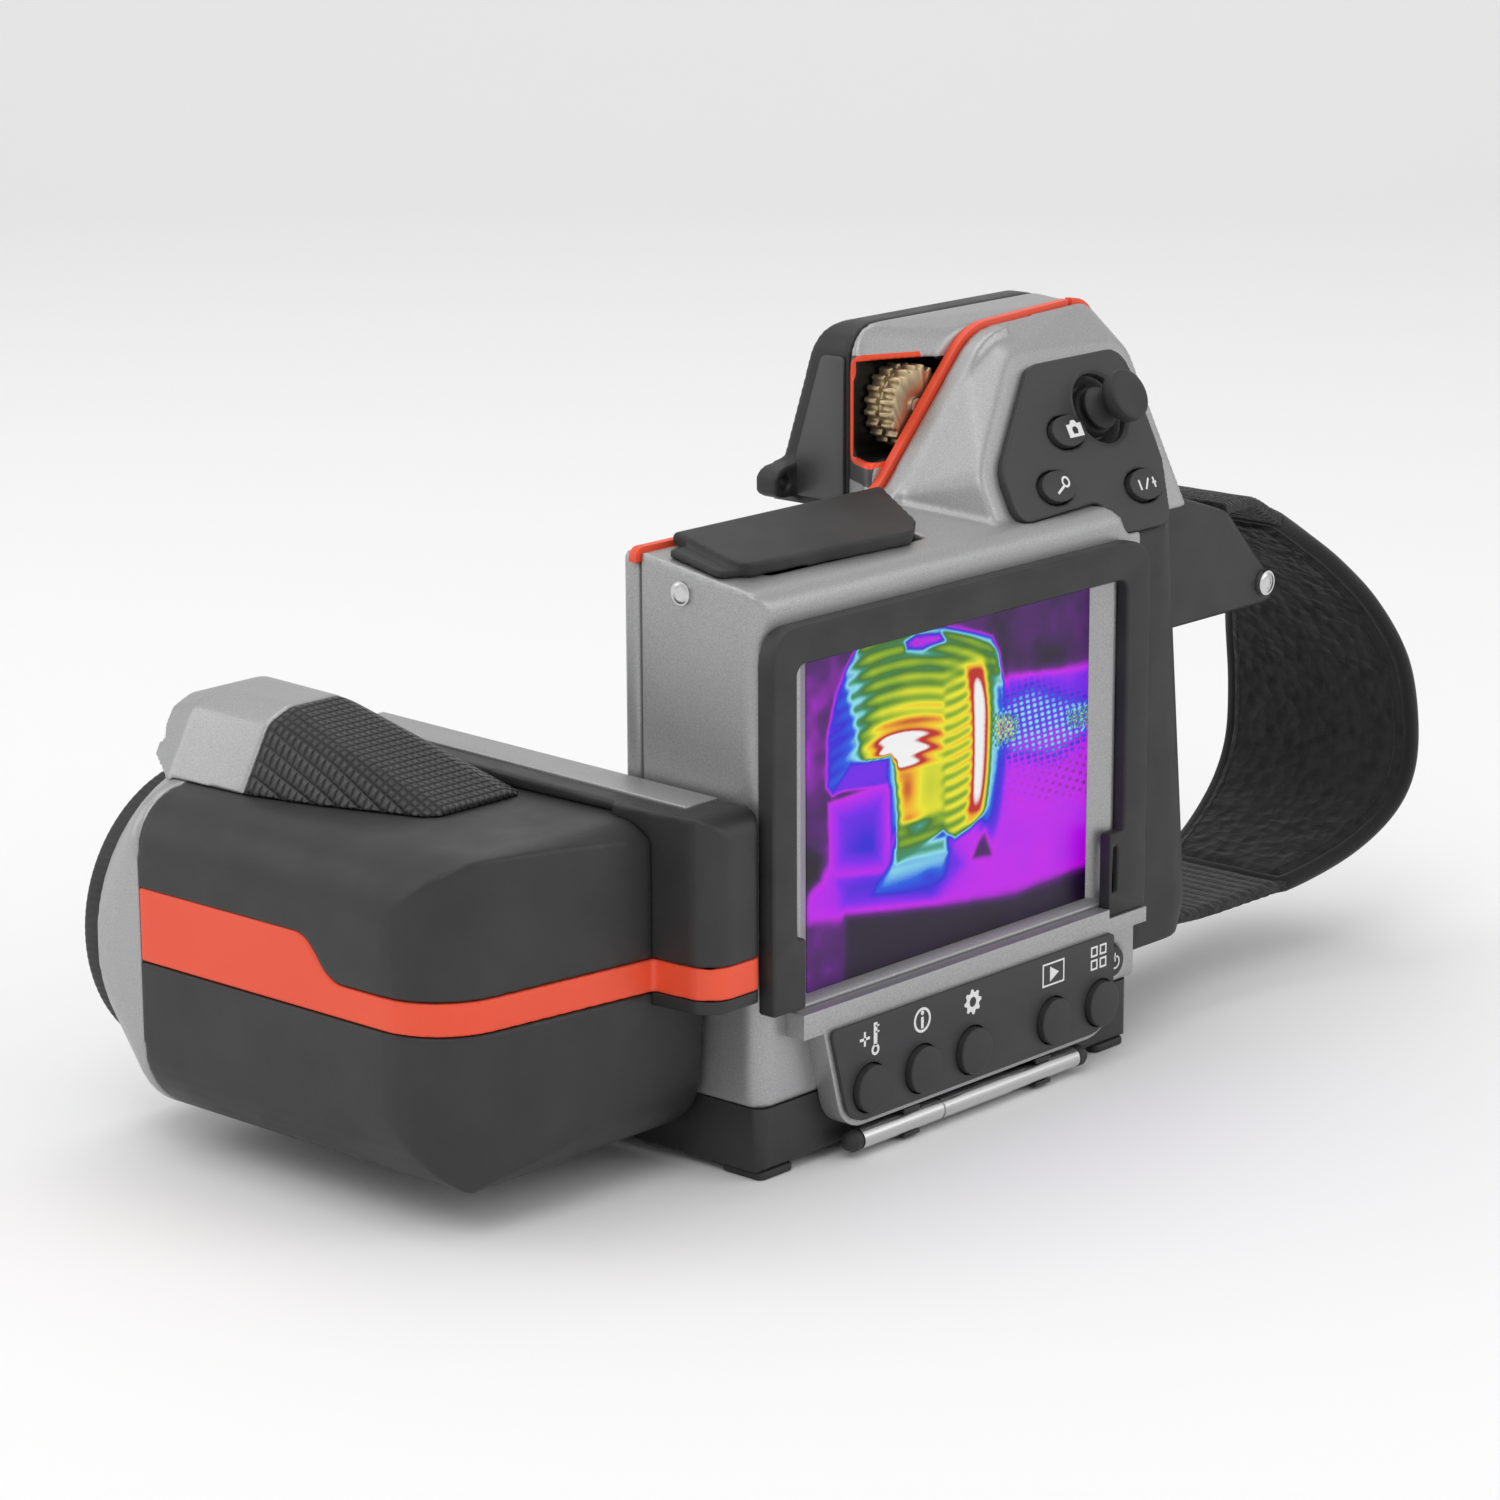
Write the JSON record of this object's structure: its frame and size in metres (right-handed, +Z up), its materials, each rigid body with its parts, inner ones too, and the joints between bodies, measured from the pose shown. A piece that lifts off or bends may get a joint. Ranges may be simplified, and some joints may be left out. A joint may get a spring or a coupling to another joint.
{
  "type": "thermal imaging camera",
  "caption": "Hand-held thermal camera: screen body with key row, thumb-joystick pod and padded hand strap, and a lens unit that tilts on a side arm.",
  "frame": {"origin": "mouth of the tripod socket, on the underside of the base", "axes": "+X to the right as the user sees the screen, +Y forward along the lens, +Z up"},
  "size_m": [0.236, 0.1053, 0.1248],
  "materials": {
    "silver_paint": "fine satin paint",
    "charcoal": "matt",
    "dark_rubber": "matt",
    "accent": "satin",
    "key_plastic": "satin",
    "display": "gloss",
    "touch_glass": "polished",
    "steel": "brushed",
    "brass_insert": "turned",
    "wheel_metal": "knurled",
    "battery": "matt",
    "webbing": "woven",
    "pad_cloth": "creased, leather-like",
    "board": "lacquered",
    "lens_germanium": "coated",
    "lens_glass": "coated",
    "lamp_window": "clear",
    "alloy": "machined"
  },
  "bodies": {
    "camera_body": {"rear_housing": "silver_paint", "front_housing": "silver_paint", "seam_trim": "accent", "base_housing": "charcoal", "battery_pack": "battery", "feet": "dark_rubber", "tripod_insert": "brass_insert", "lcd_bezel": "silver_paint", "lcd_panel": "display", "touch_glass": "touch_glass", "screen_frame": "dark_rubber", "key_tray": "silver_paint", "key_panel": "charcoal", "pod_panel": "charcoal", "wheel_axle": "steel", "grip_cover": "dark_rubber", "strap_wing": "charcoal", "strap_pin": "steel", "strap_webbing": "webbing", "strap_pad": "pad_cloth", "housing_screws": "steel", "pod_cap": "charcoal", "pod_side_panel": "silver_paint", "connector_block": "charcoal", "main_board": "board", "stylus_clips": "charcoal", "pivot_bush": "brass_insert"},
    "lens_unit": {"pivot_hub": "steel", "lens_upper_shell": "charcoal", "lens_lower_shell": "charcoal", "lens_stripe": "accent", "arm_cover": "charcoal", "arm_strip": "silver_paint", "front_ring": "silver_paint", "camera_hood": "silver_paint", "hood_pad": "dark_rubber", "view_camera": "lens_glass", "lamp_window": "lamp_window", "lens_barrel": "charcoal", "ir_lens": "lens_germanium", "detector_module": "alloy"},
    "stylus": {"stylus_barrel": "steel", "stylus_tips": "dark_rubber"},
    "battery_door": {"battery_door": "charcoal"},
    "connector_flap": {"connector_flap": "dark_rubber"},
    "focus_ring": {"focus_ring": "charcoal"},
    "measure_key": {"measure_key": "key_plastic"},
    "info_key": {"info_key": "key_plastic"},
    "setup_key": {"setup_key": "key_plastic"},
    "play_key": {"play_key": "key_plastic"},
    "menu_key": {"menu_key": "key_plastic"},
    "power_key": {"power_key": "key_plastic"},
    "camera_key": {"camera_key": "key_plastic"},
    "zoom_key": {"zoom_key": "key_plastic"},
    "range_key": {"range_key": "key_plastic"},
    "trigger": {"trigger_button": "key_plastic"},
    "stick_gimbal": {"joystick_gimbal": "alloy"},
    "stick_stem": {"joystick_stem": "steel"},
    "stick_cap": {"joystick_cap": "dark_rubber"},
    "wheel": {"adjust_wheel": "wheel_metal"}
  },
  "joints": [
    {"name": "lens_tilt", "type": "hinge", "parent": "camera_body", "child": "lens_unit", "pos_m": [-0.0493, -0.005, 0.041], "axis": [1, 0, 0], "range_deg": [-30, 90]},
    {"name": "focus_turn", "type": "hinge", "parent": "lens_unit", "child": "focus_ring", "pos_m": [-0.0765, 0.0775, 0.032], "axis": [0, 1, 0], "range_deg": [-60, 60]},
    {"name": "measure_key_press", "type": "slide", "parent": "camera_body", "child": "measure_key", "axis": [0, 1, 0], "range_m": [0, 0.0008], "stiffness_N_per_m": 1200, "springref_m": -0.0005},
    {"name": "info_key_press", "type": "slide", "parent": "camera_body", "child": "info_key", "axis": [0, 1, 0], "range_m": [0, 0.0008], "stiffness_N_per_m": 1200, "springref_m": -0.0005},
    {"name": "setup_key_press", "type": "slide", "parent": "camera_body", "child": "setup_key", "axis": [0, 1, 0], "range_m": [0, 0.0008], "stiffness_N_per_m": 1200, "springref_m": -0.0005},
    {"name": "play_key_press", "type": "slide", "parent": "camera_body", "child": "play_key", "axis": [0, 1, 0], "range_m": [0, 0.0008], "stiffness_N_per_m": 1200, "springref_m": -0.0005},
    {"name": "menu_key_press", "type": "slide", "parent": "camera_body", "child": "menu_key", "axis": [0, 1, 0], "range_m": [0, 0.0008], "stiffness_N_per_m": 1200, "springref_m": -0.0005},
    {"name": "power_key_press", "type": "slide", "parent": "camera_body", "child": "power_key", "axis": [0, 1, 0], "range_m": [0, 0.0008], "stiffness_N_per_m": 1200, "springref_m": -0.0005},
    {"name": "camera_key_press", "type": "slide", "parent": "camera_body", "child": "camera_key", "axis": [0, 0.891, -0.454], "range_m": [0, 0.0008], "stiffness_N_per_m": 1200, "springref_m": -0.0005},
    {"name": "zoom_key_press", "type": "slide", "parent": "camera_body", "child": "zoom_key", "axis": [0, 0.891, -0.454], "range_m": [0, 0.0008], "stiffness_N_per_m": 1200, "springref_m": -0.0005},
    {"name": "range_key_press", "type": "slide", "parent": "camera_body", "child": "range_key", "axis": [0, 0.891, -0.454], "range_m": [0, 0.0008], "stiffness_N_per_m": 1200, "springref_m": -0.0005},
    {"name": "trigger_press", "type": "slide", "parent": "camera_body", "child": "trigger", "axis": [0, -1, 0], "range_m": [0, 0.001], "stiffness_N_per_m": 1400, "springref_m": -0.0006},
    {"name": "stick_updown", "type": "hinge", "parent": "camera_body", "child": "stick_gimbal", "pos_m": [0.0494, -0.00481, 0.10562], "axis": [1, 0, 0], "range_deg": [-15, 15], "stiffness_Nm_per_rad": 0.06},
    {"name": "stick_sideways", "type": "hinge", "parent": "stick_gimbal", "child": "stick_stem", "pos_m": [0.0494, -0.00481, 0.10562], "axis": [0, 0.454, 0.891], "range_deg": [-15, 15], "stiffness_Nm_per_rad": 0.06},
    {"name": "stick_press", "type": "slide", "parent": "stick_stem", "child": "stick_cap", "axis": [0, 0.891, -0.454], "range_m": [0, 0.0005], "stiffness_N_per_m": 3000, "springref_m": -0.0004},
    {"name": "wheel_turn", "type": "hinge", "parent": "camera_body", "child": "wheel", "pos_m": [0.0215, 0.011, 0.1096], "axis": [0, 1, 0], "continuous": true},
    {"name": "flap_open", "type": "hinge", "parent": "camera_body", "child": "connector_flap", "pos_m": [-0.016, 0.00442, 0.09751], "axis": [-1, 0, 0], "range_deg": [0, 100]},
    {"name": "battery_door_open", "type": "hinge", "parent": "camera_body", "child": "battery_door", "pos_m": [0, 0.0349, 0.0034], "axis": [-1, 0, 0], "range_deg": [0, 90]},
    {"name": "stylus_draw", "type": "slide", "parent": "camera_body", "child": "stylus", "axis": [1, 0, 0], "range_m": [0, 0.06]}
  ]
}
